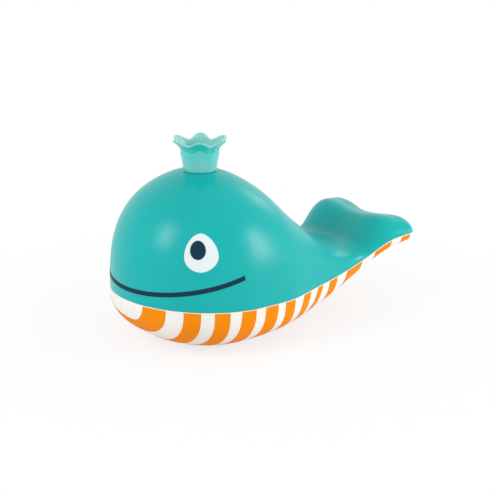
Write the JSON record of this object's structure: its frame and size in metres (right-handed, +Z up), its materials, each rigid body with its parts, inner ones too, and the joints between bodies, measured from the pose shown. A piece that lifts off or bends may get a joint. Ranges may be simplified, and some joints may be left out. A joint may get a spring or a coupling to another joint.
{
  "type": "bubble whale bath toy",
  "caption": "Squeeze foamer for the bath shaped like a whale: soft clamshell body with a striped belly and a ruffled crown in the blowhole.",
  "frame": {"origin": "on the floor, on the flat foot, straight below the blowhole axis", "axes": "+Z up along the blowhole; -X to the nose, +X to the tail; -Y to the whale's left side"},
  "size_m": [0.193, 0.1086, 0.1185],
  "materials": {
    "teal_shell": "satin",
    "belly_white": "satin",
    "stripe_orange": "satin",
    "crown_aqua": "satin",
    "eye_white": "satin",
    "ink": "satin",
    "silicone": "matte",
    "moulding": "satin",
    "gauze": "matte",
    "steel": "polished"
  },
  "bodies": {
    "belly": {"belly_tub": "belly_white", "body_seal": "silicone", "stripe_01_left": "stripe_orange", "stripe_01_right": "stripe_orange", "stripe_02_left": "stripe_orange", "stripe_02_right": "stripe_orange", "stripe_03_left": "stripe_orange", "stripe_03_right": "stripe_orange", "stripe_04_left": "stripe_orange", "stripe_04_right": "stripe_orange", "stripe_05_left": "stripe_orange", "stripe_05_right": "stripe_orange", "stripe_06_left": "stripe_orange", "stripe_06_right": "stripe_orange", "stripe_07_left": "stripe_orange", "stripe_07_right": "stripe_orange", "stripe_08_left": "stripe_orange", "stripe_08_right": "stripe_orange", "stripe_09_left": "stripe_orange", "stripe_09_right": "stripe_orange", "stripe_10_left": "stripe_orange", "stripe_10_right": "stripe_orange", "stripe_11_left": "stripe_orange", "stripe_11_right": "stripe_orange", "stripe_12_left": "stripe_orange", "stripe_12_right": "stripe_orange"},
    "upper": {"upper_shell": "teal_shell", "mouth_line": "ink", "eye_left": "eye_white", "pupil_left": "ink", "eye_right": "eye_white", "pupil_right": "ink"},
    "crown": {"crown": "crown_aqua", "crown_seal": "silicone", "upper_mesh": "gauze", "mesh_spacer": "moulding", "lower_mesh": "gauze", "mixing_chamber": "moulding", "dip_tube": "moulding"},
    "ball": {"valve_ball": "steel"}
  },
  "joints": [
    {"name": "upper_lift", "type": "slide", "parent": "belly", "child": "upper", "axis": [0, 0, 1], "range_m": [0, 0.07]},
    {"name": "crown_pull", "type": "slide", "parent": "upper", "child": "crown", "axis": [0, 0, 1], "range_m": [0, 0.1]},
    {"name": "ball_lift", "type": "slide", "parent": "crown", "child": "ball", "axis": [0, 0, 1], "range_m": [0, 0.002]}
  ]
}
